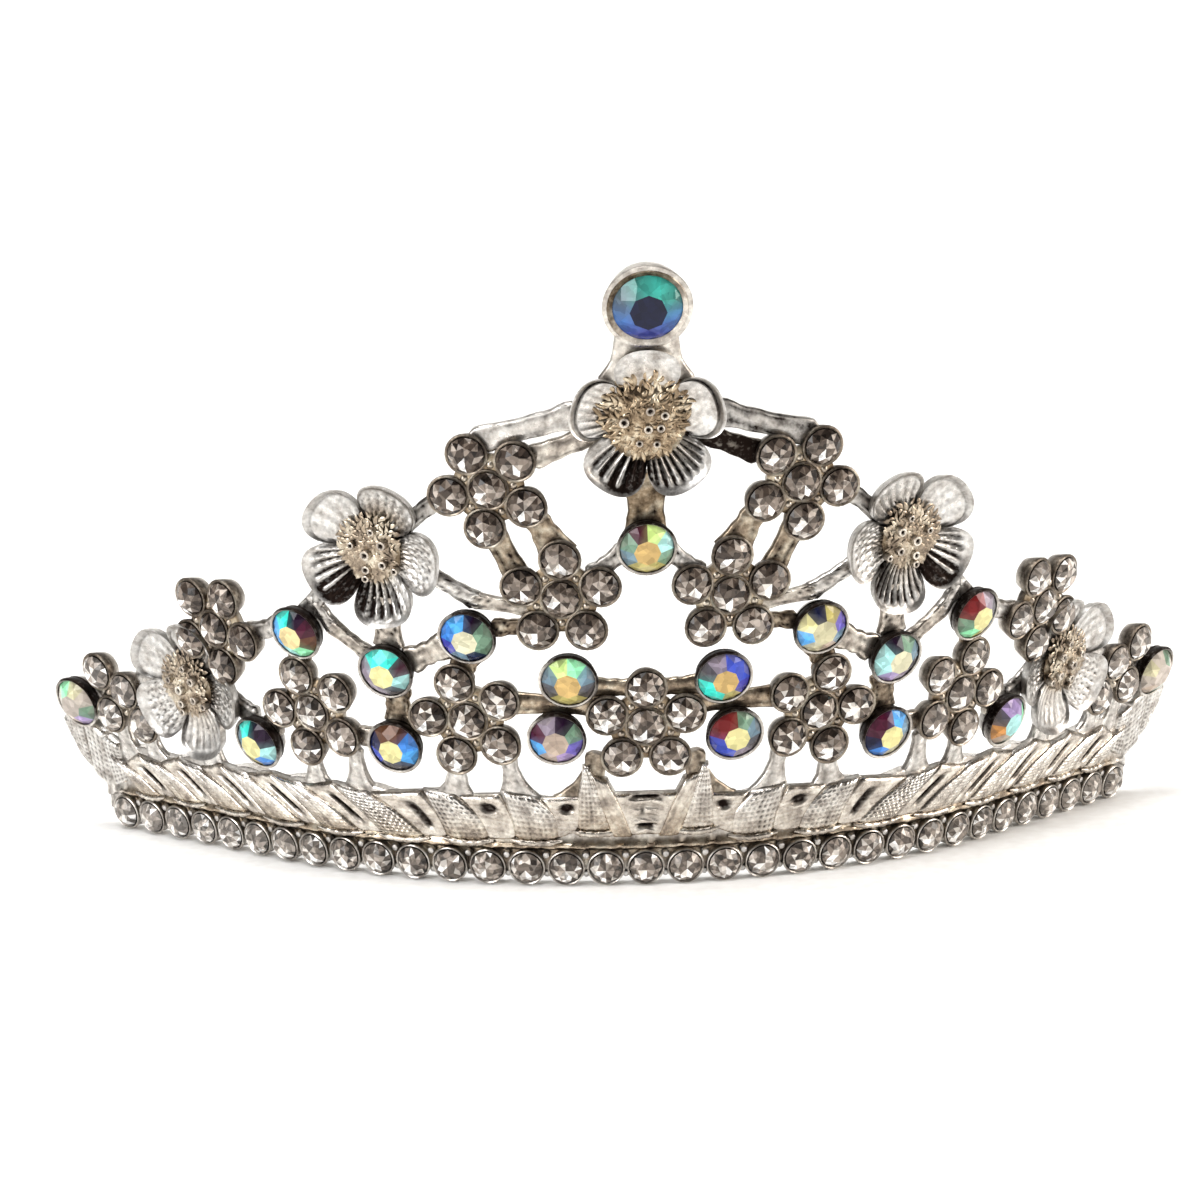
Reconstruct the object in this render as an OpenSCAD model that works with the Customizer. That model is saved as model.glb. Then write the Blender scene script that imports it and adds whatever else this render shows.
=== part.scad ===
// Openwork rhinestone tiara. One silver-plated casting carries every stone: a rail
// of small stones, a band of slanting leaves above it, and a web of cups, flowers
// and bars that leans outward. The plan is a round front that runs into straight ends.
// A place on the wall is [along, up]: along it from the centre line, and up its slope.
// Each side is the mirror of the other, so the tables give the right side alone.

/* [Plan] */
// Radius of the round front
arc_r = 40; // [37:0.5:44]
// Half angle of the round front, in degrees
arc_half = 45; // [42:1:47]
// Length along the wall from the centre line to the end of the rail
rail_half = 52; // [50.5:0.5:53]
// Outward lean of the wall, in degrees
flare = 12; // [9:1:13]

/* [Rail and leaf band] */
// Height of the rail under the leaves
rail_h = 3; // [2.9:0.05:3.1]
// Level on the slope where the leaf band ends
band_top = 6; // [5.6:0.1:6.2]
// Thickness of the leaf band
band_t = 1; // [0.8:0.1:1.1]
// Spacing of the rail's small stones
row_pitch = 3.1; // [3:0.05:3.15]
// Diameter of the rail's small stones
row_d = 2.4; // [2.2:0.05:2.45]
// Spacing of the leaves
leaf_pitch = 6.1; // [5.9:0.1:6.2]
// Length of a leaf
leaf_len = 7.2; // [6.6:0.1:7.5]
// Width of a leaf
leaf_w = 3; // [2.6:0.1:3.2]
// Lean of a leaf away from the centre line, in degrees
leaf_lean = 42; // [38:1:46]

/* [Stones and cups] */
// Diameter of the clear stones in the clusters
clear_d = 2.7; // [2.5:0.05:2.75]
// Distance from a cluster's middle stone to the ones around it
ring_r = 3.15; // [3.1:0.05:3.2]
// Diameter of the rainbow stones
rainbow_d = 4.1; // [4:0.1:4.3]
// Diameter of the rainbow stone at the top
top_d = 5.6; // [5.4:0.1:5.8]
// Downward lean of the rainbow stones from the wall, in degrees
rainbow_lean = 8; // [4:1:10]
// Clearance around a stone
gap = 0.1; // [0.08:0.01:0.12]
// Thickness of a cup's wall
cup_wall = 0.2; // [0.18:0.01:0.22]

/* [Flowers] */
// Petals on a flower
petals = 5; // [5:1:5]
// Reach of a petal from the flower's middle
petal_reach = 5.8; // [5.6:0.1:6]

/* [Hidden] */
cup_back = -1.5;
cup_rim = 0.12;
datum_z = 1.45;
row_half_count = floor((rail_half - row_pitch / 2) / row_pitch);
row_cup_d = 2 * (datum_z - 0.06) / cos(22.5);
rainbow_cup_d = rainbow_d + 2 * gap + 3 * cup_wall;
top_cup_d = top_d + 2 * gap + 5 * cup_wall;
table_share = 0.55;
arc_len = arc_r * arc_half * PI / 180;
band_steps = 12;

// Rainbow stones: name, along, up
RAINBOW = [
    ["1", 5.5, 15.8],
    ["2", 6.5, 11],
    ["3", 12.5, 19.3],
    ["4", 18.9, 16.1],
    ["5", 18.9, 9.8],
    ["6", 26, 18.7],
    ["7", 31.8, 8.7],
    ["8", 52.9, 9.4],
];
top_up = 45.7;
centre_up = 26.6;

// Clusters of clear stones: name, along, up, turn of the first outer stone, outer stones
CLUSTERS = [
    ["1", 5.8, 22.5, 90, 5],
    ["2", 10.3, 31.3, 62, 5],
    ["3", 13, 12.3, 75, 5],
    ["4", 25.8, 12, 72, 5],
    ["5", 34.5, 18, 50, 5],
    ["6", 46.9, 11.1, 241, 3],
];
low_cluster_up = 11.9;

// Flowers: along, up, turn of the first petal
FLOWERS = [[19, 25.8, 45], [39.2, 12.3, 41]];
centre_flower_up = 36.4;

// Bars: along and up of one end, the same of the other end, width
BARS = [
    [4.2, 37.4, 11, 35.2, 1.1],
    [2.8, 35.7, 7.4, 33.6, 1.2],
    [1.5, 26, 3.6, 24.2, 1.2],
    [7.4, 29.6, 5.9, 26, 1.7],
    [10.6, 28.2, 8.7, 23.8, 1.3],
    [13.4, 30.6, 17, 27.6, 1.2],
    [15.6, 24.4, 11.9, 22, 1.1],
    [11.9, 22, 7.6, 21.3, 1],
    [10.6, 19.8, 7.8, 20, 1.1],
    [12.9, 17.4, 13.6, 15.6, 1.8],
    [18.5, 21.8, 18.8, 18, 1.7],
    [22.5, 23.5, 25.4, 20, 1.3],
    [24.7, 21.4, 23.2, 19.1, 1],
    [23.2, 19.1, 20.4, 17, 1],
    [18.6, 14.2, 18.7, 11.8, 1.7],
    [16.2, 12.4, 17.4, 11.4, 1.6],
    [20.8, 10, 23.1, 10.2, 1.5],
    [10.2, 13.6, 3, 13.4, 1],
    [4, 15, 0.6, 14.8, 1],
    [14.4, 18.2, 17.2, 16.8, 1.7],
    [26.6, 16.8, 26.8, 15.2, 1.7],
    [28, 18.8, 31, 17.8, 1.4],
    [29, 11.6, 30.6, 10, 1.5],
    [32.6, 10.4, 35.4, 12, 1.5],
    [45.4, 11.8, 41.6, 12.3, 1.6],
    [50.6, 10.8, 49.4, 11.6, 1.6],
];

// Outline of the broad leaf that sweeps up from each end of the rail: along and up
END_LEAF = [[49.6, 3], [51.6, 1.2], [54.4, 4.2], [56.2, 7.4], [55.6, 9.4], [51, 6.8]];

// Leaf tips that rise to the cups: along and up of the tip, the same of its root, width
TIPS = [
    [3.3, 9.4, 4.3, 6, 1.8],
    [10.4, 9.4, 9.8, 6, 1.5],
    [14.3, 8.6, 14.8, 5.7, 1.8],
    [22.9, 9, 22.9, 5.8, 1.4],
    [26.9, 8.2, 27, 5.8, 1.4],
    [38.2, 8.8, 38.4, 5.6, 1.6],
    [45.6, 7.4, 45.2, 5.4, 1.8],
    [48.9, 7.8, 48.2, 5, 1.9],
];

function side_names(stem, rows) = [for (r = rows, side = ["right", "left"]) str(stem, "_", side, "_", r[0])];

// Plan of the wall: how far it has turned, and where it is
function turned(s) = sign(s) * min(abs(s) / arc_r * 180 / PI, arc_half);
function past_arc(s) = max(abs(s) - arc_len, 0);
function plan_x(s) = arc_r * sin(turned(s)) + sign(s) * past_arc(s) * cos(arc_half);
function plan_y(s) = arc_r * (1 - cos(turned(s))) + past_arc(s) * sin(arc_half);

// The middle of the depth, from the top stone in front to the tips of the end leaves behind
end_tip = END_LEAF[3];
front_y = -(top_up + 0.27 * top_d) * sin(flare) - 0.25 * top_d * cos(flare);
back_y = plan_y(end_tip[0]) - (end_tip[1] * sin(flare) + (cup_back + 0.1) * cos(flare)) * cos(arc_half);
mid_y = (front_y + back_y) / 2;

// Puts children on the wall, with Z out of it and Y up its slope
module on_wall(s, up, out = 0, lean = 0) {
    translate([plan_x(s), plan_y(s) - mid_y, datum_z])
        rotate([0, 0, turned(s)])
            rotate([90 + flare, 0, 0])
                translate([0, up, out])
                    rotate([lean, 0, 0])
                        children();
}

module both_sides() {
    children();
    mirror([1, 0, 0]) children();
}

function ring(r, z, sides) = [for (i = [0:sides - 1]) [r * cos((i + 0.5) * 360 / sides), r * sin((i + 0.5) * 360 / sides), z]];

function polar(r, angle, z) = [r * cos(angle), r * sin(angle), z];

// A cut stone with its table up and its girdle at zero
module stone(d, sides = 8) {
    crown_h = 0.22 * d;
    pavilion_h = 0.24 * d;
    points = concat(ring(table_share * d / 2, crown_h, sides), ring(d / 2, 0, sides), [[0, 0, -pavilion_h]]);
    faces = concat(
        [[for (i = [sides - 1:-1:0]) i]],
        [for (i = [0:sides - 1]) [i, (i + 1) % sides, sides + (i + 1) % sides, sides + i]],
        [for (i = [0:sides - 1]) [sides + i, sides + (i + 1) % sides, 2 * sides]]
    );
    polyhedron(points, faces);
}

// The straight hole that a large stone sits in, open to the front
module seat(d, sides = 8) {
    depth = 0.24 * d + gap;
    rotate(180 / sides)
        translate([0, 0, -depth])
            cylinder(d = d + 2 * gap / cos(180 / sides), h = depth + 0.5 * d, $fn = sides);
}

// The drilled hole that a small stone sits in, pointed at the bottom
module drilled_seat(d, depth, lip) {
    mouth = d + 2 * gap / cos(22.5);
    rotate(22.5) {
        translate([0, 0, -depth])
            cylinder(d1 = 0, d2 = mouth * (depth + lip) / depth, h = depth + lip, $fn = 8);
        translate([0, 0, lip / 2])
            cylinder(d = mouth, h = 0.5 * d, $fn = 8);
    }
}

module cup(d, back, rim, sides = 8) {
    rotate(180 / sides)
        translate([0, 0, back])
            cylinder(d = d, h = rim - back, $fn = sides);
}

// Places of a cluster's stones about its middle one
function around(turn, count) = [for (i = [0:count - 1]) [ring_r * cos(turn + i * 72), ring_r * sin(turn + i * 72)]];

module cluster_cups(turn, count) {
    cup_d = clear_d + 2 * gap + 2 * cup_wall;
    translate([0, 0, cup_back])
        linear_extrude(height = cup_rim - cup_back)
            union() {
                rotate(turn) circle(r = ring_r, $fn = 5);
                for (p = around(turn, count))
                    translate([p[0], p[1]])
                        rotate(22.5) circle(d = cup_d, $fn = 8);
            }
}

module cluster_seats(turn, count) {
    drilled_seat(clear_d, 1.25, cup_rim + 0.02);
    for (p = around(turn, count))
        translate([p[0], p[1], 0])
            drilled_seat(clear_d, 1.25, cup_rim + 0.02);
}

module cluster_stones(turn, count) {
    stone(clear_d);
    for (p = around(turn, count))
        translate([p[0], p[1], 0])
            stone(clear_d);
}

// Columns across a petal: share of its half angle, height of its cupped face, reach of its edge
PETAL = [
    [-1, -0.7, 0.62],
    [-0.86, 0.3, 0.86],
    [-0.45, -0.3, 1],
    [0, -0.65, 1.03],
    [0.45, -0.3, 1],
    [0.86, 0.3, 0.86],
];

// A flower in one piece: cupped petals with raised edges round a heart with lobes
module flower(turn) {
    n = petals * len(PETAL);
    angle = [for (i = [0:petals - 1], c = PETAL) turn + (i + c[0] / 2) * 360 / petals];
    dip = [for (i = [0:petals - 1], c = PETAL) c[1]];
    edge = [for (i = [0:petals - 1], c = PETAL) c[2] * petal_reach];
    heart_top = [for (i = [0:n - 1]) polar(1.2, angle[i], i % 2 == 0 ? 0.75 : 0.3)];
    heart_foot = [for (i = [0:n - 1]) polar(1.95, angle[i], -0.7)];
    cup_floor = [for (i = [0:n - 1]) polar(0.7 * edge[i], angle[i], dip[i])];
    cup_edge = [for (i = [0:n - 1]) polar(edge[i], angle[i], dip[i] < -0.65 ? -0.1 : 0.75)];
    back = [for (i = [0:n - 1]) polar(0.6 * edge[i], angle[i], cup_back + 0.15)];
    rows = [heart_top, heart_foot, cup_floor, cup_edge, back];
    last = len(rows) - 1;
    points = concat([for (r = rows) each r], [[0, 0, 0.95]]);
    faces = concat(
        [for (i = [0:n - 1]) [len(points) - 1, (i + 1) % n, i]],
        [for (j = [0:last - 1], i = [0:n - 1]) [j * n + i, j * n + (i + 1) % n, (j + 1) * n + (i + 1) % n]],
        [for (j = [0:last - 1], i = [0:n - 1]) [j * n + i, (j + 1) * n + (i + 1) % n, (j + 1) * n + i]],
        [[for (i = [0:n - 1]) last * n + i]]
    );
    polyhedron(points, faces);
}

// A flat bar along the wall, held level with it at its own middle
module bar(b) {
    along = b[2] - b[0];
    up = b[3] - b[1];
    length = norm([along, up]);
    on_wall((b[0] + b[2]) / 2, (b[1] + b[3]) / 2, cup_back + 0.2)
        rotate(atan2(up, along))
            translate([-length / 2, -b[4] / 2, 0])
                cube([length, b[4], 0.9]);
}

// A leaf tip that narrows as it rises from the band to a cup
module tip(b) {
    along = b[0] - b[2];
    up = b[1] - b[3];
    length = norm([along, up]);
    on_wall((b[0] + b[2]) / 2, (b[1] + b[3]) / 2, cup_back + 0.15)
        rotate(atan2(up, along))
            hull() {
                translate([-length / 2, -b[4] / 2, 0]) cube([0.1, b[4], 0.8]);
                translate([length / 2 - 0.1, -b[4] / 3, 0]) cube([0.1, b[4] * 2 / 3, 0.8]);
            }
}

// Corner points of the rail and leaf band: distance out from the plan, height
function slope_point(up, out) = [up * sin(flare) + out * cos(flare), datum_z + up * cos(flare) - out * sin(flare)];
SECTION = [
    [-1.8, 0],
    [-0.5, 0],
    [-0.5, rail_h],
    [0.35, rail_h],
    [0.35, rail_h + 0.4],
    slope_point(3, -0.5),
    slope_point(band_top, -0.5),
    slope_point(band_top, -0.5 - band_t),
];
STATIONS = concat(
    [-rail_half],
    [for (i = [0:band_steps]) arc_len * (2 * i / band_steps - 1)],
    [rail_half]
);
function swept(s, p) = [
    plan_x(s) + p[0] * sin(turned(s)),
    plan_y(s) - p[0] * cos(turned(s)) - mid_y,
    p[1],
];

module rail_and_band() {
    n = len(SECTION);
    last = len(STATIONS) - 1;
    points = [for (s = STATIONS, p = SECTION) swept(s, p)];
    faces = concat(
        [[for (i = [n - 1:-1:0]) i]],
        [for (j = [0:last - 1], i = [0:n - 1]) [j * n + i, j * n + (i + 1) % n, (j + 1) * n + (i + 1) % n, (j + 1) * n + i]],
        [[for (i = [0:n - 1]) last * n + i]]
    );
    polyhedron(points, faces);
}

// A raised leaf along Y
module leaf(length, width) {
    linear_extrude(height = 1)
        polygon([
            [0, -length / 2],
            [width / 2, -0.16 * length],
            [width / 2, 0.14 * length],
            [0.1 * width, length / 2],
            [-0.4 * width, 0.3 * length],
            [-width / 2, -0.1 * length],
        ]);
}

module leaf_band() {
    for (k = [0:7])
        on_wall(3.9 + k * leaf_pitch, 4.3, -1)
            rotate(-leaf_lean)
                leaf(leaf_len, leaf_w);
}

module half_metal() {
    for (k = [1:row_half_count])
        on_wall(k * row_pitch, 0)
            cup(row_cup_d, -1.1, 0.15);
    leaf_band();
    for (c = CLUSTERS)
        on_wall(c[1], c[2])
            cluster_cups(c[3], c[4]);
    for (r = RAINBOW)
        on_wall(r[1], r[2], 0, rainbow_lean)
            cup(rainbow_cup_d, cup_back - 0.1, 0.3);
    for (f = FLOWERS)
        on_wall(f[0], f[1])
            flower(f[2]);
    for (b = BARS)
        bar(b);
    for (t = TIPS)
        tip(t);
    on_wall(54, 6, cup_back + 0.1)
        linear_extrude(height = 1)
            polygon([for (p = END_LEAF) p - [54, 6]]);
}

module half_seats() {
    for (k = [1:row_half_count])
        on_wall(k * row_pitch, 0, 0.05)
            drilled_seat(row_d, 0.9, 0.12);
    for (c = CLUSTERS)
        on_wall(c[1], c[2])
            cluster_seats(c[3], c[4]);
    for (r = RAINBOW)
        on_wall(r[1], r[2], 0, rainbow_lean)
            seat(rainbow_d);
}

module centre_metal() {
    on_wall(0, 0) cup(row_cup_d, -1.1, 0.15);
    on_wall(0, 4.4, -1) leaf(5.4, 3.4);
    on_wall(0, low_cluster_up) cluster_cups(90, 5);
    on_wall(0, centre_up, 0, rainbow_lean) cup(rainbow_cup_d, cup_back - 0.1, 0.3);
    on_wall(0, centre_flower_up) flower(90);
    on_wall(0, top_up, 0, rainbow_lean) cup(top_cup_d, cup_back - 0.3, 0.3, 12);
    bar([0, 33.4, 0, 28.4, 2.3]);
    bar([0, 43, 0, 40.4, 3.8]);
}

module centre_seats() {
    on_wall(0, 0, 0.05) drilled_seat(row_d, 0.9, 0.12);
    on_wall(0, low_cluster_up) cluster_seats(90, 5);
    on_wall(0, centre_up, 0, rainbow_lean) seat(rainbow_d);
    on_wall(0, top_up, 0, rainbow_lean) seat(top_d);
}

module tiara_frame() {
    color("silver")
        difference() {
            union() {
                rail_and_band();
                both_sides() half_metal();
                centre_metal();
            }
            both_sides() half_seats();
            centre_seats();
            translate([-100, -100, -20]) cube([200, 200, 20]);
        }
}

module rail_stones() {
    color("gainsboro")
        for (k = [-row_half_count:row_half_count])
            on_wall(k * row_pitch, 0, 0.05)
                stone(row_d);
}

module rainbow_stone_top() {
    color("steelblue")
        on_wall(0, top_up, 0, rainbow_lean)
            stone(top_d);
}

module rainbow_stone_centre() {
    color("khaki")
        on_wall(0, centre_up, 0, rainbow_lean)
            stone(rainbow_d);
}

module clear_stones_centre() {
    color("gainsboro")
        on_wall(0, low_cluster_up)
            cluster_stones(90, 5);
}

module rainbow_stone(r) {
    color("khaki")
        on_wall(r[1], r[2], 0, rainbow_lean)
            stone(rainbow_d);
}

module clear_stones(c) {
    color("gainsboro")
        on_wall(c[1], c[2])
            cluster_stones(c[3], c[4]);
}

tiara_frame();
rail_stones();
rainbow_stone_top();
rainbow_stone_centre();
clear_stones_centre();
for (r = RAINBOW) {
    rainbow_stone(r);
    mirror([1, 0, 0]) rainbow_stone(r);
}
for (c = CLUSTERS) {
    clear_stones(c);
    mirror([1, 0, 0]) clear_stones(c);
}
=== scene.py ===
import random
from math import copysign, cos, hypot, pi, radians, sin, sqrt

import bmesh
import bpy
from mathutils import Matrix, Vector


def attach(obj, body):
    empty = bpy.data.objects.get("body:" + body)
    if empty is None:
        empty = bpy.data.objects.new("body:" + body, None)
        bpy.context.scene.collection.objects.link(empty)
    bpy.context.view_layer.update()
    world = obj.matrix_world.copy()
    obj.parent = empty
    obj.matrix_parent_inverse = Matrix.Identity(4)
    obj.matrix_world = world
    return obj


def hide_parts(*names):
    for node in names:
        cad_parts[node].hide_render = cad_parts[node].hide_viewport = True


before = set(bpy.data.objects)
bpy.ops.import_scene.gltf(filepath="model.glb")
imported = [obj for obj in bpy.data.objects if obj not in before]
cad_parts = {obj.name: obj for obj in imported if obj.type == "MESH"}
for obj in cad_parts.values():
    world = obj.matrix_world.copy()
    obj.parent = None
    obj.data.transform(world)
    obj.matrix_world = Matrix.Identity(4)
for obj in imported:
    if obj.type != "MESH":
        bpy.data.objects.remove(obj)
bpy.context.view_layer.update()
MM = 0.001
chance = random.Random(7)

# The wall's plan and tilt, as in the part's source, in millimetres
ARC_R, ARC_HALF, RAIL_HALF, FLARE = 40.0, 45.0, 52.0, 12.0
ARC_LEN = ARC_R * radians(ARC_HALF)
DATUM_Z, MID_Y = 1.45, 8.968
RAINBOW_LEAN = 8.0
# The rail's stones: how far apart they stand, and how many on each side of the middle one
RAIL_PITCH, HALF_ROW = 3.1, 16


# ---------- places on the wall ----------


def foot_line(s):
    """The wall's turn and its level place, at a distance along its foot."""
    turn = copysign(min(abs(s) / ARC_R, radians(ARC_HALF)), s)
    past = max(abs(s) - ARC_LEN, 0.0)
    x = ARC_R * sin(turn) + copysign(past, s) * cos(radians(ARC_HALF))
    y = ARC_R * (1 - cos(turn)) + past * sin(radians(ARC_HALF))
    return turn, x, y - MID_Y


def on_wall(s, up, out=0.0, lean=0.0):
    """Local X along the wall, Y up its slope and Z out of it."""
    turn, x, y = foot_line(s)
    return (
        Matrix.Translation((x, y, DATUM_Z))
        @ Matrix.Rotation(turn, 4, "Z")
        @ Matrix.Rotation(radians(90 + FLARE), 4, "X")
        @ Matrix.Translation((0, up, out))
        @ Matrix.Rotation(radians(lean), 4, "X")
    )


def wall(s, up, out):
    return on_wall(s, up, out).translation


def plan(s, out, z):
    """A point a level distance out from the wall's foot line, at a height."""
    turn, x, y = foot_line(s)
    return Vector((x + out * sin(turn), y - out * cos(turn), z))


def slope(up, out):
    """The level distance and height of a point up the wall's slope and out of it."""
    tilt = radians(FLARE)
    return up * sin(tilt) + out * cos(tilt), DATUM_Z + up * cos(tilt) - out * sin(tilt)


# ---------- shaping ----------


def mix(a, b, t):
    return a + (b - a) * t


def smooth(t):
    t = min(max(t, 0.0), 1.0)
    return t * t * (3 - 2 * t)


def hump(x, middle, half):
    """1 at the middle, falling smoothly to 0 half a width away."""
    return smooth(1 - abs(x - middle) / half)


def wave(x):
    """0 at each whole number and 1 halfway between."""
    return 0.5 - 0.5 * cos(2 * pi * x)


def ruffle(a, b):
    """A fixed unevenness from -1 to 1, for what a caster's hand leaves."""
    return sin(12.9898 * a + 78.233 * b) * cos(4.1 * a - 9.7 * b)


def squarish(x, power):
    """Flattens a sine, so that a round section turns boxy."""
    return copysign(abs(x) ** power, x)


def angles(n):
    """Even steps round a full turn."""
    return [2 * pi * i / n for i in range(n)]


def polar(r, angle, side=1):
    """A place round a middle, mirrored where side is -1."""
    return side * r * cos(angle), r * sin(angle)


# ---------- colours ----------


def linear(code):
    parts = [int(code[i : i + 2], 16) / 255 for i in (1, 3, 5)]
    return [c / 12.92 if c <= 0.04045 else ((c + 0.055) / 1.055) ** 2.4 for c in parts]


def mix_colour(a, b, t):
    return [mix(p, q, t) for p, q in zip(a, b)]


def dimmed(colour, k):
    return [min(c * k, 1.0) for c in colour]


# Interference colours of the thin film on the rainbow stones, and black for the painted shade at their girdle
FILM_CODES = """
gold #cfae6f amber #c78a48 lemon #e2da9c ivory #dcd8b8 cream #c9c3a0 blush #bba898 peach #e2cc96 olive #b9ad6a
lime #cdea8c mint #96efb6 turquoise #3fe6d4 teal #3aa79c aqua #a9e0de sky #4fa6ee azure #3f86dc royal #3c50bc
indigo #4440a4 violet #6a5cba lilac #a993c4 navy #171d40 plum #210b26 maroon #4a142c crimson #701f20
brown #5e3c28 sage #6f9078 steel #6c8798 mauve #8e8391 smoke #4c4a50 pearl #bdb2a8 black #120d10
""".split()
FILM = {name: linear(code) for name, code in zip(FILM_CODES[::2], FILM_CODES[1::2])}

# Table, then the eight crown facets clockwise from just right of the top
RAINBOW_CUT = dict(
    top="navy turquoise teal azure royal royal azure steel teal",
    centre="gold lime aqua sage olive olive steel sage maroon",
    left_1="gold mint steel smoke olive olive smoke steel lime",
    right_1="gold royal royal indigo olive turquoise turquoise smoke mauve",
    left_2="blush plum sage violet lilac blush sky maroon mauve",
    right_2="lemon sage steel smoke mauve royal royal crimson crimson",
    left_3="ivory plum sage sage navy steel indigo azure sky",
    right_3="cream olive violet steel blush cream sky lemon navy",
    left_4="lemon turquoise maroon aqua smoke mauve mauve mauve turquoise",
    right_4="ivory sage steel smoke mauve lilac aqua aqua plum",
    left_5="lemon brown azure sky smoke smoke royal navy brown",
    right_5="lemon sky steel smoke cream azure navy maroon maroon",
    left_6="peach plum maroon brown mint aqua sky sky turquoise",
    right_6="lemon mauve smoke steel olive mint sage crimson crimson",
    left_7="lemon plum plum aqua azure olive steel steel turquoise",
    right_7="aqua lilac mint mint sage blush amber smoke lilac",
    left_8="pearl cream pearl sage lilac blush blush pearl mint",
    right_8="pearl sage blush pearl sage blush pearl cream pearl",
)
DARK_FILM = ("navy", "plum", "maroon", "crimson", "brown", "indigo")
# Greys of the foil behind the clear stones, painted from black for painted shade to white for a painted glint
FOIL = [linear(code) for code in "#241e1a #3d342e #584e46 #756a61 #9a9087 #cbc5be #f8f6f4".split()]


# ---------- materials ----------


def node(tree, kind, settings=(), links=(), stops=()):
    """Adds a node with its settings, and links its inputs. A colour ramp also takes stops,
    as places with sRGB hex colours."""
    made = tree.nodes.new("ShaderNode" + kind)
    for key, value in dict(settings).items():
        if isinstance(key, str) and hasattr(made, key):
            setattr(made, key, value)
        else:
            made.inputs[key].default_value = value
    for key, source in dict(links).items():
        tree.links.new(source, made.inputs[key])
    if stops:
        band = made.color_ramp
        while len(band.elements) < len(stops):
            band.elements.new(0.5)
        for element, (place, code) in zip(band.elements, stops):
            element.position, element.color = place, (*linear(code), 1)
    return made


def material(name):
    made = bpy.data.materials.new(name)
    made.use_nodes = True
    tree = made.node_tree
    tree.nodes.clear()
    return made, tree


# Sockets of a colour mix: its share, its two colours and its result
SHARE, FIRST, SECOND, MIXED = 0, 6, 7, 2


def silver_plate():
    """Silver plate over a cast white-metal alloy, tumbled bright: warm pale lights, brown-grey clouding
    in the hollows, black where the antique wash stays in the cuts, and painted shade held in the wash."""
    made, tree = material("tumbled silver plate")
    place = node(tree, "TexCoord").outputs["Object"]
    wash = node(tree, "Attribute", {"attribute_name": "wash"}).outputs["Fac"]
    warm = node(tree, "Attribute", {"attribute_name": "warm"}).outputs["Fac"]
    # Casting clouds about 1.2 mm across, skin pits of 0.3 mm, and a finer grain from tumbling
    clouds, pits, grain = (
        node(tree, "TexNoise", {"Scale": scale, "Detail": detail, "Roughness": rough}, {"Vector": place}).outputs[0]
        for scale, detail, rough in ((850.0, 4.0, 0.65), (3100.0, 3.0, 0.6), (4200.0, 2.0, 0.5))
    )
    # The clouds run through clean silver and through the warmer metal in the hollows
    silver, brass = (
        node(tree, "ValToRGB", links={0: clouds}, stops=stops).outputs[0]
        for stops in (
            [(0.34, "#b3ada7"), (0.46, "#d6d2cd"), (0.62, "#efedea")],
            [(0.34, "#6a5947"), (0.5, "#a8947a"), (0.66, "#e0d3bb")],
        )
    )
    base = node(tree, "Mix", {"data_type": "RGBA"}, {SHARE: warm, FIRST: silver, SECOND: brass}).outputs[MIXED]
    skin = {"From Min": 0.38, "From Max": 0.62, "To Min": 0.13, "To Max": -0.06}
    worn = node(tree, "MapRange", skin, {"Value": pits}).outputs[0]
    held = node(tree, "Math", {"operation": "ADD", "use_clamp": True}, {0: wash, 1: worn}).outputs[0]
    black = {"data_type": "RGBA", SECOND: (*linear("#1c1512"), 1)}
    colour = node(tree, "Mix", black, {SHARE: held, FIRST: base}).outputs[MIXED]
    # The wash dries matt, and the tumbled metal round it is bright
    rough = node(tree, "MapRange", {"To Min": 0.24, "To Max": 0.5}, {"Value": held}).outputs[0]
    bump = node(tree, "Bump", {"Strength": 0.22, "Distance": 0.00005}, {"Height": grain}).outputs[0]
    links = {"Base Color": colour, "Roughness": rough, "Normal": bump}
    shader = node(tree, "BsdfPrincipled", {"Metallic": 1.0}, links)
    node(tree, "OutputMaterial", links={"Surface": shader.outputs[0]})
    return made


def cut_glass(name, metallic, sparkle, size):
    """Machine-cut glass over a metal foil: each facet holds one hard-edged colour under a wet gloss,
    broken up by painted reflections of the facets behind."""
    made, tree = material(name)
    place = node(tree, "TexCoord").outputs["Object"]
    facet = node(tree, "Attribute", {"attribute_name": "facet"}).outputs["Color"]
    # Painted reflections of the back facets, about an eighth of a stone across
    cells = node(tree, "TexVoronoi", {"Scale": size}, {"Vector": place}).outputs["Color"]
    spread = {"To Min": 1 - sparkle, "To Max": 1 + sparkle}
    light = node(tree, "MapRange", spread, {"Value": cells}).outputs[0]
    colour = node(tree, "VectorMath", {"operation": "SCALE"}, {0: facet, "Scale": light}).outputs[0]
    gloss = {"Roughness": 0.16, "Specular IOR Level": 0.25, "Coat Weight": 0.1, "Coat Roughness": 0.05}
    shader = node(tree, "BsdfPrincipled", {"Metallic": metallic, **gloss}, {"Base Color": colour})
    node(tree, "OutputMaterial", links={"Surface": shader.outputs[0]})
    return made


SILVER = silver_plate()
RAINBOW_GLASS = cut_glass("film-coated cut glass on foil", 0.1, 0.3, 1900.0)
CLEAR_GLASS = cut_glass("clear cut glass on foil", 0.12, 0.7, 2700.0)


# ---------- building ----------


def put(name, data):
    """Adds an object to the scene."""
    made = bpy.data.objects.new(name, data)
    bpy.context.scene.collection.objects.link(made)
    return made


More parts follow.
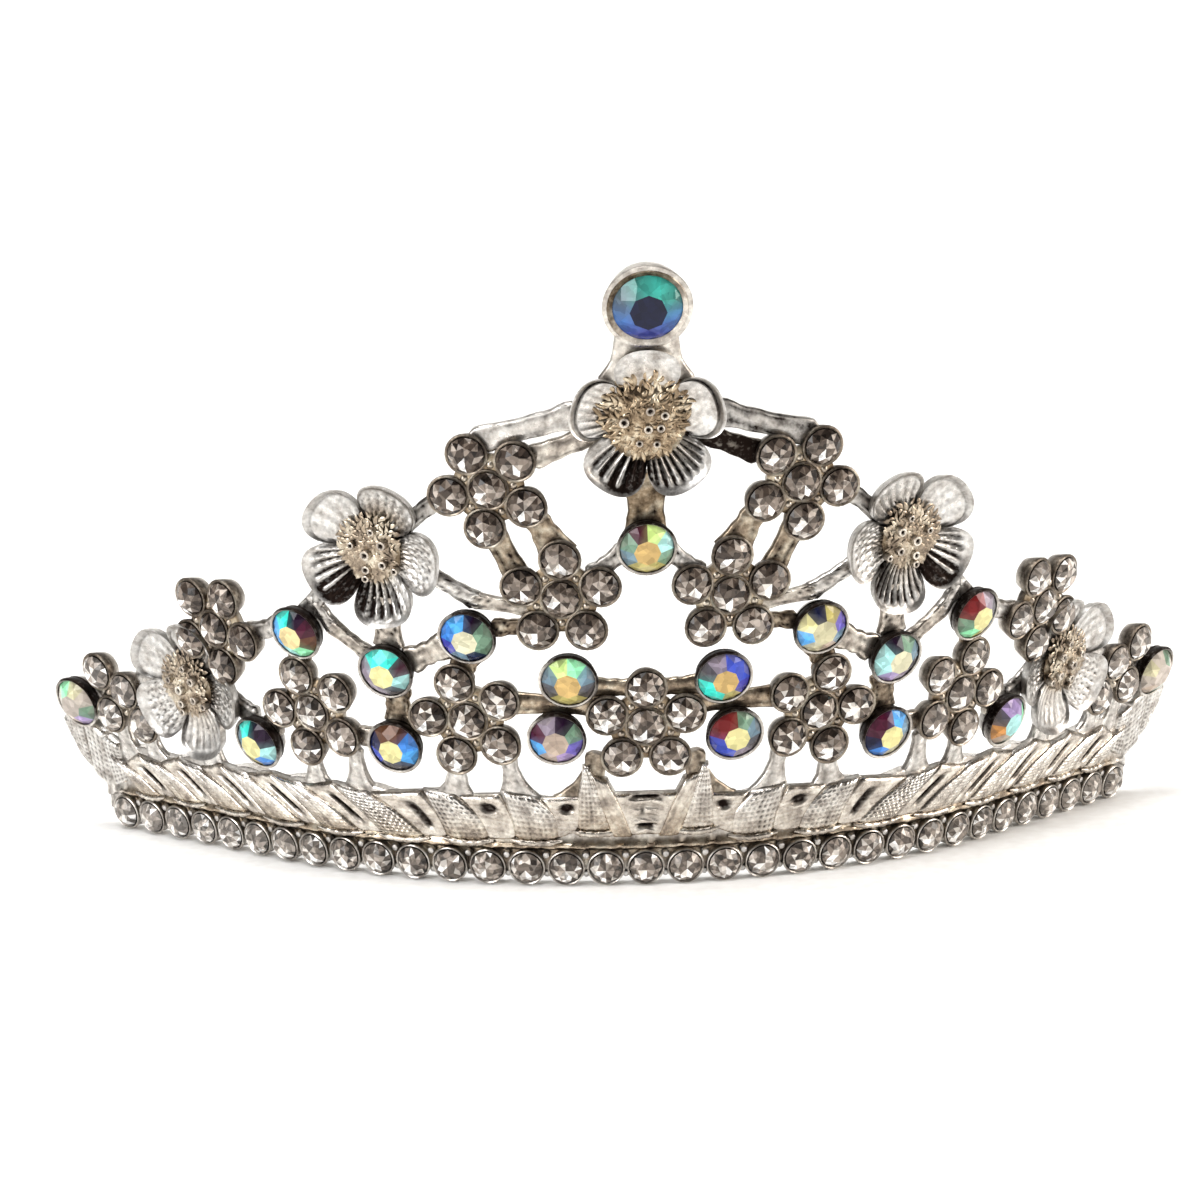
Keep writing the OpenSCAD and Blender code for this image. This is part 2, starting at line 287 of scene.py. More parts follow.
class Work:
    """Points in millimetres, each with its wash, holding painted shade in places (0 bright, 1 black), and warmth,
    and the faces between them.
    """

    def __init__(self):
        self.points, self.faces = [], []

    def loft(self, rows, place=None, capped=True):
        """Joins closed rings of (point, wash, warm), or of (x, y, z, wash, warm) to be put at a place."""
        start, n = len(self.points), len(rows[0])
        for row in rows:
            self.points += [(place @ Vector(item[:3]), *item[3:]) for item in row] if place is not None else row
        for j in range(len(rows) - 1):
            for i in range(n):
                a, b = start + j * n + i, start + j * n + (i + 1) % n
                self.faces.append((a, b, b + n, a + n))
        if capped:
            self.faces.append(tuple(range(start + n - 1, start - 1, -1)))
            last = start + (len(rows) - 1) * n
            self.faces.append(tuple(range(last, last + n)))

    def piece(self, name, sharp=38.0):
        """Makes the mesh, smooth but for edges that turn by more degrees than sharp."""
        mesh = bpy.data.meshes.new(name)
        bm = bmesh.new()
        wash, warm = bm.verts.layers.float.new("wash"), bm.verts.layers.float.new("warm")
        for p, a, b in self.points:
            v = bm.verts.new(p * MM)
            v[wash], v[warm] = min(max(a, 0.0), 1.0), b
        bm.verts.ensure_lookup_table()
        for face in self.faces:
            bm.faces.new([bm.verts[i] for i in face])
        bmesh.ops.remove_doubles(bm, verts=bm.verts, dist=1e-7)
        bmesh.ops.dissolve_degenerate(bm, edges=bm.edges, dist=1e-7)
        bmesh.ops.recalc_face_normals(bm, faces=bm.faces)
        for face in bm.faces:
            face.smooth = True
        for edge in bm.edges:
            edge.smooth = len(edge.link_faces) == 2 and edge.calc_face_angle(0) < radians(sharp)
        bm.to_mesh(mesh)
        bm.free()
        made = put(name, mesh)
        mesh.materials.append(SILVER)
        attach(made, "root")
        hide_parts("tiara_frame")


# Turned shapes close at this radius, and are plainer metal behind this height
AXIS, PLAIN_BACK = 0.001, -0.95


def turned_rings(profile, sides, side_shade=None, warm=0.0):
    """Rings of a turned shape from (r, z, wash) steps. An optional function paints shade that changes round the
    shape.
    """
    rows = []
    for r, z, wash in profile:
        ring_warm = warm * (0.4 if z < PLAIN_BACK else 1.0)
        row = []
        for angle in angles(sides):
            held = side_shade(angle, wash) if side_shade else wash
            row.append((*polar(r, angle), z, held, ring_warm))
        rows.append(row)
    return rows


# Sides of a panel on the wall: foot inner, foot outer, top inner, top outer, as (s, v)
LEAVES = [
    ((2.2, 3.0), (5.5, 3.0), (3.7, 8.5), (5.2, 8.5)),
    ((6.6, 2.2), (10.2, 2.2), (7.5, 5.7), (11.6, 6.5)),
    ((12.0, 2.1), (15.7, 2.1), (14.0, 5.8), (17.9, 6.2)),
    ((17.2, 2.0), (21.2, 2.0), (21.6, 5.5), (25.8, 6.1)),
    ((23.0, 2.0), (26.9, 2.0), (27.9, 5.5), (32.1, 6.1)),
    ((28.7, 2.0), (32.8, 2.0), (34.0, 5.5), (37.8, 6.1)),
    ((34.7, 2.0), (38.3, 2.0), (39.4, 5.3), (42.8, 5.8)),
    ((40.0, 2.0), (43.3, 2.0), (44.2, 5.0), (47.6, 5.5)),
    ((44.8, 1.9), (47.8, 1.9), (48.6, 4.4), (51.1, 5.0)),
]


def between(corners, a, b, bow):
    """The place on the wall at a share across and along a panel, bowed towards the middle."""
    (s0, v0), (s1, v1), (s2, v2), (s3, v3) = corners
    s = mix(mix(s0, s1, a), mix(s2, s3, a), b) - bow * sin(pi * b)
    return s, mix(mix(v0, v1, a), mix(v2, v3, a), b)


def panel(
    work, side, corners, across, along, height, face,
    base=-0.5, back=-0.8, bow=0.0, point=0.0, edge_wash=0.3, back_wash=0.8,
):
    """A raised panel that follows the wall, bowed and narrowed to its tip by point.
    face gives (dip, wash, warm) for a share across and along."""
    rows = []
    for j in range(along + 1):
        b = j / along
        narrow = 1 - point * smooth((b - 0.45) / 0.55) ** 1.5 - 0.12 * smooth((0.12 - b) / 0.12)
        row = []
        for i in range(across + 1):
            a = i / across
            s, v = between(corners, 0.5 + (a - 0.5) * narrow, b, bow)
            dip, wash, warm = face(a, b)
            rim = (1 - abs(2 * a - 1) ** 6) ** 0.5 * (1 - abs(2 * b - 1) ** 12) ** 0.5
            spot = wall(side * s, v, base + (height - dip) * rim)
            row.append((spot, mix(edge_wash, wash, min(rim * 1.8, 1)), warm))
        for a in (1.0, 0.0):
            s, v = between(corners, 0.5 + (a - 0.5) * narrow, b, bow)
            row.append((wall(side * s, v, back), back_wash, 0.3))
        rows.append(row)
    work.loft(rows)


def leaf_lip(work, points):
    """A rounded, slightly uneven lip through points, thinner at its ends, with painted shade on its back, where it
    meets the wall.
    """
    rows, last = [], len(points) - 1
    for k, p in enumerate(points):
        ahead = (points[min(k + 1, last)] - points[max(k - 1, 0)]).normalized()
        out = Vector((p.x, p.y + MID_Y - ARC_R, 0)).normalized()
        out = (out - ahead * out.dot(ahead)).normalized()
        beside = ahead.cross(out)
        t = k / last
        r = LIP_R * mix(0.35, 1.0, smooth(min(t, 1 - t) * 5)) * (1 + 0.15 * sin(2.1 * k))
        row = []
        for q in angles(10):
            # Painted shade on the half that faces the wall
            wash = 0.12 if sin(q) > -0.2 else 0.7
            row.append((p + beside * (r * cos(q)) + out * (r * sin(q)), wash, 0.5))
        rows.append(row)
    work.loft(rows)


# ---------- rail and leaf band ----------


def rim_height(s):
    """The top of the band rises to each leaf. The leaves stand about 6.1 mm apart."""
    return 5.72 + 0.24 * cos(2 * pi * (abs(s) - 3.9) / 6.1)


rail = Work()
rows = []
STATIONS = 260
for k in range(STATIONS + 1):
    s = -RAIL_HALF + 2 * RAIL_HALF * k / STATIONS
    # The rail rises between the cups, so that its lower edge is scalloped, and at its bare ends
    lift = 0.12 + 0.85 * wave(s / RAIL_PITCH) + 0.9 * smooth((abs(s) - 50.9) / 1.1)
    top = rim_height(s)
    # The ledge over the cups is broken and stained, as the casting leaves it
    chip = 0.1 * ruffle(0.31 * s, 1.0) - 0.5 * smooth((abs(s) - 50.6) / 1.2)
    stain = 0.25 * ruffle(0.53 * s, 2.0) + 0.15 * ruffle(1.9 * s, 4.0) - 0.12
    contour = [
        (-1.7, lift + 0.1, 0.2),
        (-1.55, lift, 0.2),
        (-0.65, lift, 0.3),
        (-0.5, lift + 0.12, 0.45),
        (-0.5, 2.2, 0.4 + stain),
        (-0.45, 2.75, 0.42 + stain),
        (0.1 + chip, 2.95 + chip, 0.4 + stain),
        (0.26 + chip, 3.08 + chip, 0.25 + stain),
        (0.26 + chip, 3.3, 0.2 + stain),
        (0.1, 3.45 - chip, 0.36 + stain),
        (*slope(2.6, -0.5), 0.32),
        (*slope(top - 0.15, -0.5), 0.3),
        (*slope(top, -0.62), 0.05),
        (*slope(top, -1.38), 0.1),
        (*slope(top - 0.12, -1.5), 0.25),
        (*slope(4.0, -1.5), 0.3),
        (*slope(2.0, -1.62), 0.35),
    ]
    # The brown under the ledge fades towards the bare ends
    brown = 0.65 * smooth((51.2 - abs(s)) / 3)
    rows.append([(plan(s, out, z), wash, 0.2 + brown * (2 < z < 3.6)) for out, z, wash in contour])
rail.loft(rows)
rail.piece("rail_and_band", 50)

# Mesh-hatched leaves. The real hatch is about 0.3 mm, drawn at 0.42 mm so that it shows
HATCH = 0.42
# This many leaves on each side of the middle are cut deep, and the rest are worn shallow
DEEP_LEAVES = 4


def hatch(a, b, across, along, margin):
    """Pits in a grid, fading at the edges of a panel, in a narrower strip for a larger margin number."""
    return wave(a * across) * wave(b * along) * smooth(min(a, 1 - a) * margin) * smooth(min(b, 1 - b) * 8)


def leaf_face(k, side, across, along):
    """Hatch, fold and stain of the leaf numbered k from the middle, with so many cells each way."""
    deep = k < DEEP_LEAVES
    least, most = (0.32, 0.7) if deep and k > 0 else (0.2, 0.4)
    share = 0.8 if k < 2 else 1.0 if deep else 0.5

    def face(a, b):
        pit = hatch(a, b, across, along, 9)
        patch = 0.55 + 0.45 * sin(1.7 * k + 2.3 * side + 5 * a + 3.1 * b)
        # A fold runs up the leaf, paler on its inner side
        crease = 0.62 - 0.2 * b
        fold = hump(a, crease, 0.1)
        stain = 0.08 * max(ruffle(0.7 * a + k, 0.9 * b + side), 0)
        wash = (least + most * patch) * pit * (1.2 if a > crease else 0.6) + 0.16 * fold + stain
        # The foot of the leaves is browner and darker, most on the left
        foot = (0.6 if side < 0 else 0.35) * smooth(0.9 - b)
        dip = 0.14 * (2 * a - 1) ** 2 + (0.13 if deep else 0.05) * pit + 0.06 * fold
        return dip, share * wash + 0.14 * foot, 0.16 + 1.5 * stain + foot

    return face


leaves = Work()
for side in (1, -1):
    for k, corners in enumerate(LEAVES):
        (s0, v0), (s1, _), (s2, v2), _ = corners
        across = max(6, round((s1 - s0) / HATCH))
        along = max(6, round(hypot(s2 - s0, v2 - v0) / HATCH))
        bow, point = (0.12, 0.6) if k == 0 else (0.35, 0.3)
        face = leaf_face(k, side, across, along)
        panel(leaves, side, corners, 4 * across, 4 * along, 0.62, face, bow=bow, point=point)
leaves.piece("hatched_leaves", 60)


def strip_face(k):
    """A plain strip between two leaves has a long dark slit, or a drilled dot near the middle."""

    def face(a, b):
        if k < 2:
            cut = smooth(1.9 - hypot((a - 0.5) / 0.14, (b - 0.72) / 0.08))
        else:
            ends = smooth(min(b - 0.14, 0.9 - b) * 5)
            cut = smooth(1.9 - abs(a - 0.42) / (0.05 + 0.008 * min(k, 5))) * ends
        ribs = 0.05 * (1 - wave(2.5 * a + 0.2 * k))
        stain = 0.12 * ruffle(a + k, 1.3 * b)
        return 0.26 * cut + ribs, cut + 1.2 * ribs + stain, 0.45 + stain

    return face


def arm_face(a, b):
    """Two folds run up each arm of the V, which is browner at its foot."""
    near, far = hump(a, 0.3, 0.14), hump(a, 0.68, 0.1)
    wash = 0.22 * near + 0.18 * far + 0.14 * ruffle(1.5 * a, 1.7 * b)
    return 0.07 * near + 0.05 * far, wash, 0.85 - 0.5 * b


def ladder_face(a, b):
    """Cross ridges between the arms, a black slit low down, one at the top and a nick between them."""
    across = smooth(1.6 - abs(a - 0.5) / 0.17)
    slit = max(hump(b, 0.26, 0.07), hump(b, 0.93, 0.06)) * across
    nick = hump(b, 0.6, 0.16) * hump(a, 0.44, 0.07)
    # The ridges sag in the middle and fade out before the arms
    aside = abs(2 * a - 1)
    ridge = (1 - wave(4.2 * b + 0.9 * aside**2 + 0.12 * ruffle(2 * a, b))) * smooth(1.5 - 2 * aside)
    wash = 0.95 * slit + 0.8 * nick + 0.28 * ridge + 0.08 * ruffle(3 * a, 2 * b)
    return 0.3 * slit + 0.14 * nick + 0.14 * ridge, wash, 0.45


# One arm of the V over the middle of the band, and the ladder between the arms
ARM = ((0.8, 2.4), (2.6, 2.4), (2.6, 7.3), (4.4, 8.0))
LADDER = ((-1.5, 2.6), (1.5, 2.6), (-2.9, 6.15), (2.9, 6.15))

strips = Work()
for side in (1, -1):
    for k, (inner, outer) in enumerate(zip(LEAVES, LEAVES[1:])):
        corners = (
            (inner[1][0] - 0.3, inner[1][1]), (outer[0][0] + 0.3, outer[0][1]),
            (inner[3][0] - 0.5, min(inner[3][1], 6.0)), (outer[2][0] + 0.5, outer[2][1]),
        )
        panel(strips, side, corners, 18, 26, 0.4, strip_face(k), bow=0.35)
    panel(strips, side, ARM, 12, 24, 0.66, arm_face, point=0.3, edge_wash=0.12)
panel(strips, 1, LADDER, 40, 44, 0.5, ladder_face, edge_wash=0.2)
strips.piece("plain_strips", 60)

# Bright lip under the foot of each leaf, sagging in the middle
LIP_R = 0.27
lips = Work()
for side in (1, -1):
    for (s0, v0), (s1, v1), _, _ in LEAVES:
        points = []
        for i in range(17):
            t = i / 16
            sag = 0.26 * sin(pi * t) - 0.06
            points.append(wall(side * mix(s0 - 0.2, s1 + 0.2, t), mix(v0, v1, t) - sag, -0.12))
        leaf_lip(lips, points)
lips.piece("leaf_lips")

# ---------- cups ----------

# Marks for the wall and the lip of a cup, where painted shade changes round it
WALL, LIP = -1, -2


def shaded_side(s, wall_wash_and_shade, lip_wash_and_shade, least):
    """Cup walls and lips are painted dark on top and towards the middle of the wall, as painted shade,
    and paler on the other side."""
    # The side of the cup that gets the painted shade
    dark = radians(90 + 38 * min(max(s / 6, -1), 1))
    most = {WALL: wall_wash_and_shade, LIP: lip_wash_and_shade}

    def side_shade(angle, wash):
        if wash not in most:
            return wash
        return mix(least, most[wash], smooth(0.42 + 0.75 * cos(angle - dark)))

    return side_shade


def cup(work, place, s, shape, wall_wash_and_shade, lip_wash_and_shade, least, sides=24, warm=0.3):
    """A round cup that narrows to its foot. Its wall and lip get painted shade that changes round it."""
    inner, outer, foot, floor, lip, back = shape
    profile = [
        (AXIS, back, 0.3),
        (foot * 0.86, back, 0.3),
        (foot, back + 0.12, 0.2),
        (mix(foot, outer, 0.55), mix(back, lip, 0.5), WALL),
        (outer, lip - 0.18, WALL),
        (outer - 0.03, lip - 0.05, LIP),
        (mix(inner, outer, 0.5), lip, LIP),
        (inner + 0.02, lip - 0.05, 0.5),
        (inner, lip - 0.2, 0.9),
        (inner, floor + 0.3, 1.0),
        (0.3 * inner, floor, 1.0),
        (AXIS, floor, 1.0),
    ]
    work.loft(turned_rings(profile, sides, shaded_side(s, wall_wash_and_shade, lip_wash_and_shade, least), warm), place)


# Stones that the cups are made for
CLEAR_D, RAINBOW_D, TOP_D = 2.7, 4.1, 5.6
# Inner, outer and foot radius, then the heights of the floor, lip and back
ROW_CUP = (1.28, 1.48, 1.22, -0.75, 0.12, -1.15)
CLUSTER_CUP = (1.42, 1.67, 1.25, -0.8, 0.08, -1.45)
RAINBOW_BEZEL = (RAINBOW_D / 2 + 0.01, RAINBOW_D / 2 + 0.27, 1.6, -1.0, 0.28, -1.58)
TOP_BEZEL = (TOP_D / 2 + 0.05, 3.38, 2.8, -1.35, 0.42, -1.75)

row_cups = Work()
for k in range(-HALF_ROW, HALF_ROW + 1):
    s = RAIL_PITCH * k
    cup(row_cups, on_wall(s, 0), s, ROW_CUP, wall_wash_and_shade=0.4, lip_wash_and_shade=0.22, least=0.02)
    # A small cast bead between two cups, above and below the row
    if k < HALF_ROW:
        for up, size, wash in ((0.98, 0.34, 0.25), (-0.62, 0.3, 0.35)):
            bead = [
                (AXIS, size, wash), (0.7 * size, 0.72 * size, wash), (size, 0, 0.5),
                (0.75 * size, -0.6 * size, 0.8), (AXIS, -0.7 * size, 0.8),
            ]
            row_cups.loft(turned_rings(bead, 10), on_wall(s + RAIL_PITCH / 2, up, -0.35))
row_cups.piece("rail_cups")

# Clusters of clear stones: name, place of the middle stone, direction of the first round it and their number
CLUSTERS = [
    ("1", 5.8, 22.5, 90, 5), ("2", 10.3, 31.3, 62, 5), ("3", 13.0, 12.3, 75, 5),
    ("4", 25.8, 12.0, 72, 5), ("5", 34.5, 18.0, 50, 5), ("6", 46.9, 11.1, 241, 3),
]
# Stones and beads stand this far from the middle one, a fifth of a turn apart, as the petals do
RING_R, BEAD_R, FIFTH = 3.15, 1.98, 72


def cluster_places(s, v, first, count, side):
    """The middle stone of a cluster, then those round it."""
    spots = [(0, 0)] + [polar(RING_R, radians(first + FIFTH * i), side) for i in range(count)]
    return [on_wall(side * s, v) @ Matrix.Translation((x, y, 0)) for x, y in spots]


def all_clusters():
    yield "centre", 0.0, 11.9, 90, 5, 1
    for name, s, v, first, count in CLUSTERS:
        for side, word in ((1, "right"), (-1, "left")):
            yield f"{word}_{name}", s, v, first, count, side


# The web that joins the cups of a full cluster, and the bead between two cups
WEB = [
    (AXIS, -0.08, 0.3), (2.35, -0.1, 0.32), (2.8, -0.35, 0.45),
    (2.65, -1.0, 0.45), (2.2, -1.35, 0.3), (AXIS, -1.35, 0.3),
]
BEAD = [(AXIS, 0.22, 0.18), (0.2, 0.16, 0.25), (0.32, 0, 0.45), (0.28, -0.4, 0.7), (AXIS, -0.45, 0.7)]

cluster_cups = Work()
for _, s, v, first, count, side in all_clusters():
    places = cluster_places(s, v, first, count, side)
    for place in places:
        cup(cluster_cups, place, side * s, CLUSTER_CUP, wall_wash_and_shade=0.78, lip_wash_and_shade=0.72, least=0.42, warm=0.75)
    full = count == 5
    if full:
        cluster_cups.loft(turned_rings(WEB, 30, warm=1.0), places[0])
    for i in range(count if full else count - 1):
        angle = radians(first + FIFTH * (i + 0.5))
        beside = Matrix.Translation((*polar(BEAD_R, angle, side), -0.1))
        cluster_cups.loft(turned_rings(BEAD, 8, warm=0.7), places[0] @ beside)
cluster_cups.piece("cluster_cups")

# Rainbow stones beside the middle: name and place
RAINBOWS = [
    ("1", 5.5, 15.8), ("2", 6.5, 11.0), ("3", 12.5, 19.3), ("4", 18.9, 16.1),
    ("5", 18.9, 9.8), ("6", 26.0, 18.7), ("7", 31.8, 8.7), ("8", 52.9, 9.4),
]
TOP_UP, CENTRE_UP = 45.7, 26.6


def all_rainbows():
    yield "top", 0.0, TOP_UP, TOP_D
    yield "centre", 0.0, CENTRE_UP, RAINBOW_D
    for name, s, v in RAINBOWS:
        for side, word in ((1, "right"), (-1, "left")):
            yield f"{word}_{name}", side * s, v, RAINBOW_D


# The top stone's lip, as radius and height round its section
TOP_LIP = [(3.05, 0.4), (2.98, 0.5), (2.86, 0.46), (2.62, 0.36), (2.6, 0.22), (2.95, 0.2), (3.05, 0.4)]

bezels = Work()
for name, s, v, _ in all_rainbows():
    place = on_wall(s, v, 0, RAINBOW_LEAN)
    if name == "top":
        cup(bezels, place, s, TOP_BEZEL, wall_wash_and_shade=0.3, lip_wash_and_shade=0.28, least=0.15, sides=48)
        # The lip is burnished in over the stone's edge, and is painted browner and darker at the upper left, as
        # painted shade on its inner wall
        rows = []
        for r, z in TOP_LIP:
            ring = []
            for angle in angles(48):
                brown = smooth(0.5 + 0.6 * cos(angle - radians(125)))
                wash = 0.15 + 0.55 * brown + 0.1 * ruffle(angle, z)
                ring.append((*polar(r, angle), z, wash, 0.4 + 0.6 * brown))
            rows.append(ring)
        bezels.loft(rows, place, capped=False)
    else:
        # The wall and lip are painted black on the upper side towards the middle, as painted shade round the stone
        cup(bezels, place, s, RAINBOW_BEZEL, wall_wash_and_shade=1.0, lip_wash_and_shade=1.0, least=0.1, sides=36)
bezels.piece("stone_bezels")

# ---------- flowers ----------

PETAL_REACH = 5.8


def petal_edge(c):
    """Reach of a petal at a share of its half angle."""
    return PETAL_REACH * (0.57 + 0.46 * max(1 - abs(c) ** 3.2, 0.0) ** 0.58)


# How each petal is cut: ribs across it, their depth, black wash, fine mesh, gold near the heart, rim,
# then the side that the wash gathers on and the side that the deep ribs are on
PETAL_CUTS = dict(
    smooth=(5.5, 0.1, 0.16, 0.15, 0.0, 0.8, 0, 0),
    veined=(7.5, 0.3, 0.1, 0.1, 0.3, 0.7, 0, 0),
    neck=(4.5, 0.15, 0.12, 0.0, 1.0, 0.0, 0, 0),
    left_wing=(9.5, 0.4, 0.0, 0.0, 0.7, 2.0, 0, 1),
    right_wing=(4.5, 0.15, 0.05, 0.15, 0.35, 2.0, 0, 0),
    gilt=(8.5, 0.35, 0.1, 0.4, 1.0, 0.5, 0, 0),
    mesh=(8.5, 0.3, 0.0, 0.8, 0.15, 0.4, 0, 0),
    half_black=(6.5, 1.5, 1.8, 0.0, 0.2, 0.5, 1, 1),
    ribbed=(7.5, 1.2, 0.6, 0.8, 0.0, 0.4, 1, 1),
    fine=(9.5, 1.0, 0.5, 0.3, 0.4, 0.6, -1, 0),
    dark=(7.5, 0.9, 1.9, 0.4, 0.2, 0.4, -1, 0),
)
# A petal's plain back from its edge in: share of its reach, height and wash
PETAL_BACK = [(0.99, 0.22, 0.35), (0.95, -0.35, 0.5), (0.8, -0.8, 0.35), (0.6, -1.3, 0.3), (0.3, -1.35, 0.25)]


def flower(work, place, first, side, cuts):
    """Five cupped petals in one closed shape, each in its own cut."""
    per, rings = 60, 26
    # Round the flower: the petal, the share of its half angle from -1 to 1, and the direction
    steps = []
    for i in range(per * 5):
        petal, c = i // per, 2 * (i % per) / per - 1
        steps.append((petal, c, radians(first + FIFTH * (petal + 0.5 * c))))
    rows = []
    # Out from the heart along the front
    for j in range(rings + 1):
        t = j / rings
        row = []
        for petal, c, angle in steps:
            ribs, depth, soot, mesh, gold, rim, black_side, rib_side = PETAL_CUTS[cuts[petal]]
            r = mix(1.5, petal_edge(c), t)
            valley = abs(c) ** 7
            bowl = mix(-0.5, 0.42, t**1.5) - 0.3 * (1 - c * c) * sin(pi * min(t * 1.05, 1))
            inside = smooth((0.9 - t) * 9) * smooth(t * 6) * (1 - valley)
            if rib_side:
                depth *= 1 - 0.85 * smooth(-1.8 * rib_side * c - 0.4)
            if black_side:
                soot *= smooth(0.35 + 1.3 * black_side * c)
            rib = cos(pi * ribs * c) * inside
            net = cos(pi * 9.5 * c) * cos(pi * 13 * t) * inside * mesh
            groove = hump(t, 0.89, 0.055) * (1 - valley) * rim
            lip = smooth((t - 0.92) * 16)
            z = bowl + 0.13 * depth * rib + 0.06 * net - 0.12 * groove + 0.16 * lip * min(rim, 1)
            z -= 0.75 * valley * smooth(t * 1.5)
            polished = smooth(2 * rib) * (1 - smooth(2.4 * black_side * c - 0.8))
            wash = 0.1 + 0.25 * lip * smooth(3 * t - 2.1)
            wash += soot * smooth(1.5 - t) * (1 - 0.8 * polished) * (1 - lip)
            # The groove inside the rim is blackest on the upper side
            upper = 0.35 + 0.65 * smooth(0.2 + 1.2 * sin(angle))
            wash += 0.9 * max(-rib, 0) * depth + 0.65 * max(-net, 0) + 0.5 * groove * upper
            wash += 0.6 * valley * (1 - lip)
            wash += 0.12 * ruffle(7 * t + petal, 3 * c) * inside
            # Painted shade darkens the outer part of the lower petals
            wash += 0.22 * smooth(-1.2 * sin(angle)) * smooth(2 * t - 0.9)
            # Near the heart the gold is whole, and the wash thin
            wash *= 1 - 0.6 * smooth(1 - t * 2.4)
            gilt = max(gold * smooth(1.3 - 1.5 * t), smooth(1.1 - t * 2.4))
            row.append((*polar(r, angle, side), z, wash, gilt))
        rows.append(row)
    for share, level, wash in PETAL_BACK:
        row = []
        for _, c, angle in steps:
            z = level - 0.5 * abs(c) ** 7 * (share > 0.9)
            row.append((*polar(petal_edge(c) * share, angle, side), z, wash, 0.1))
        rows.append(row)
    work.loft(rows, place)


# The dome of a heart, and a stamen with a hollow top
DOME = [
    (AXIS, 0.38, 0.2), (0.9, 0.34, 0.22), (1.7, 0.14, 0.24), (2.3, -0.2, 0.3),
    (2.75, -0.5, 0.4), (2.1, -1.0, 0.6), (AXIS, -1.0, 0.6),
]
STAMEN = [
    (AXIS, -0.02, 1.0), (0.3, 0.0, 1.0), (0.55, 0.14, 0.15), (0.9, 0.1, 0.0),
    (1.1, -0.15, 0.35), (1.0, -0.55, 0.8), (AXIS, -0.6, 0.8),
]
RIDGES = 180


def curled_ridge(side, tilt, length, width, curl, relief, shade, stain, gold):
    """A low ridge round its own middle, turned by tilt and bent to one side."""
    rows = []
    for k in range(7):
        t = k / 3 - 1
        w = width * sqrt(max(1 - t * t, 0.002))
        bend = curl * t * t
        ring = []
        for roll in angles(8):
            x, y = length * t, w * cos(roll) + bend
            along = side * (x * cos(tilt) - y * sin(tilt))
            across = x * sin(tilt) + y * cos(tilt)
            height = (w * 0.9 * sin(roll) + 0.12 * (1 - t * t)) * relief
            ring.append((along, across, height, (shade if sin(roll) > 0.0 else 0.2) + stain, gold))
        rows.append(ring)
    return rows


def heart(work, place, side, size, stamens, lush, gold, relief, brown):
    """A champagne dome, ring-topped stamens, and short curled ridges that run out over the petals.
    lush gives how far the ridges reach at an angle, relief their height and brown their stain."""
    dome = [(r * size, z, wash + brown) for r, z, wash in DOME]
    work.loft(turned_rings(dome, 30, warm=1.0), place)
    for k, (x, y, r) in enumerate(stamens):
        z = 0.62 - 0.05 * (x * x + y * y) + 0.05 * sin(2.3 * k)
        rows = turned_rings([(r * p, q, wash) for p, q, wash in STAMEN], 14, warm=0.55)
        work.loft(rows, place @ Matrix.Translation((side * x, y, z)))
    for i in range(RIDGES):
        # Steps of the golden angle spread the ridges evenly
        turn = 137.5 * i
        angle, reach = radians(turn), lush(turn)
        r = mix(0.5 * size, reach, ((i + 0.5) / RIDGES) ** 0.7)
        z = max(0.34 - 0.08 * r * r, 0.08 * r - 0.68) + 0.05 * ruffle(i, 0.3)
        # Those in the middle lie every way, the outer ones point out
        outer = smooth((r / reach - 0.45) * 2.2)
        tilt = angle + mix(1.1 * sin(3.1 * i), 0.6 * sin(5.3 * i), outer)
        length = (mix(0.4, 0.54, outer) + 0.14 * sin(2.1 * i)) * size
        width = mix(0.2, 0.18, outer) + 0.03 * sin(1.3 * i)
        shade = (0.03, 0.12, 0.26, 0.08)[i % 4]
        stain = brown * (0.6 + 0.4 * ruffle(0.7 * i, 0.2))
        rows = curled_ridge(side, tilt, length, width, 0.26 * sin(5 * i), relief, shade, stain, gold)
        work.loft(rows, place @ Matrix.Translation((*polar(r, angle, side), z)))


def lush_middle(turn):
    """Furthest over the upper left petals."""
    return 2.5 + 1.4 * smooth(cos(radians(turn - 100)) + 0.5)


def lush_side(turn):
    """Furthest over the upper petals."""
    return 2.1 + 0.9 * smooth(cos(radians(turn - 80)) + 0.3)


# Stamens: place from the heart's middle, and radius
MIDDLE_STAMENS = [
    (-1.75, 0.35, 0.42), (0.2, 1.25, 0.38), (1.3, 0.85, 0.36), (0.05, -0.15, 0.36),
    (1.0, -0.1, 0.34), (-0.6, -1.3, 0.3), (0.7, -1.35, 0.3),
]
SIDE_STAMENS = [
    (-1.3, 0.9, 0.38), (0.1, 0.1, 0.42), (-1.2, -0.7, 0.36), (0.2, -1.1, 0.36),
    (0.4, -1.9, 0.32), (-0.5, 1.9, 0.3), (-2.1, -1.2, 0.3), (1.3, 0.8, 0.3),
]
MIDDLE_CUTS = ("neck", "left_wing", "half_black", "fine", "right_wing")
RIGHT_CUTS = ("smooth", "veined", "mesh", "fine", "dark")
LEFT_CUTS = ("smooth", "gilt", "mesh", "ribbed", "dark")
# The outer flowers are worn nearly smooth
WORN_CUTS = ("smooth", "veined", "mesh", "veined", "mesh")

petals, hearts = Work(), Work()
place = on_wall(0, 36.4)
flower(petals, place, 90, 1, MIDDLE_CUTS)
heart(hearts, place, 1, 1.1, MIDDLE_STAMENS, lush_middle, gold=1.0, relief=0.5, brown=0.0)
for side, upper_cuts, brown in ((1, RIGHT_CUTS, 0.2), (-1, LEFT_CUTS, 0.1)):
    for s, v, first, cuts in ((19, 25.8, 45, upper_cuts), (39.2, 12.3, 41, WORN_CUTS)):
        place = on_wall(side * s, v)
        flower(petals, place, first, side, cuts)
        heart(hearts, place, side, 0.85, SIDE_STAMENS, lush_side, gold=0.85, relief=0.3, brown=brown)
petals.piece("flower_petals", 50)
hearts.piece("flower_hearts", 50)

# ---------- bars, tips and end leaves ----------

# Half the thickness of the bars
HALF_THICK = 0.42
